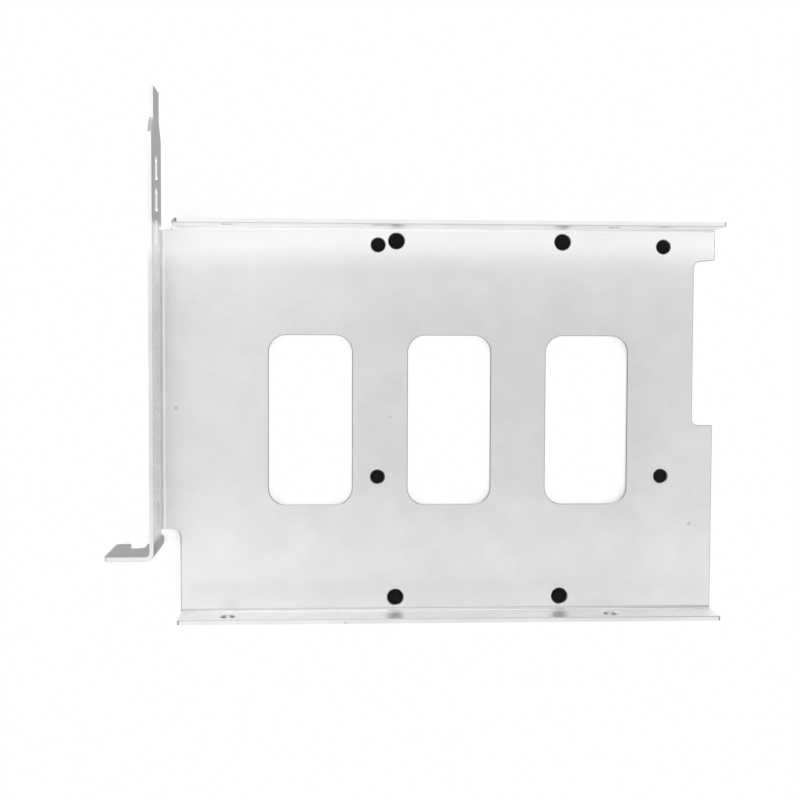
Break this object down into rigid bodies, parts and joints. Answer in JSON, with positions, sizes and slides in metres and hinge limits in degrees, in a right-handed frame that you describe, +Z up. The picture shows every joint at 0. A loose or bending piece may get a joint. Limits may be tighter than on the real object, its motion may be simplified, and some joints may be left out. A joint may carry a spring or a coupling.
{
  "type": "drive bay adapter bracket",
  "caption": "Folded sheet steel tray with a flange along each side and a vented expansion slot plate with a screw tab, for fixing a drive in a spare slot.",
  "frame": {"origin": "middle of the four 3.5 inch screw holes, on the upper face of the floor, where the drive sits", "axes": "+X towards the plug end of the drive, +Y along the slot plate towards its tongue, +Z up out of the tray"},
  "size_m": [0.1603, 0.1376, 0.0216],
  "materials": {
    "plated_steel": "bright plated cold rolled steel, satin"
  },
  "bodies": {
    "root": {"drive_bracket": "plated_steel"}
  },
  "joints": []
}
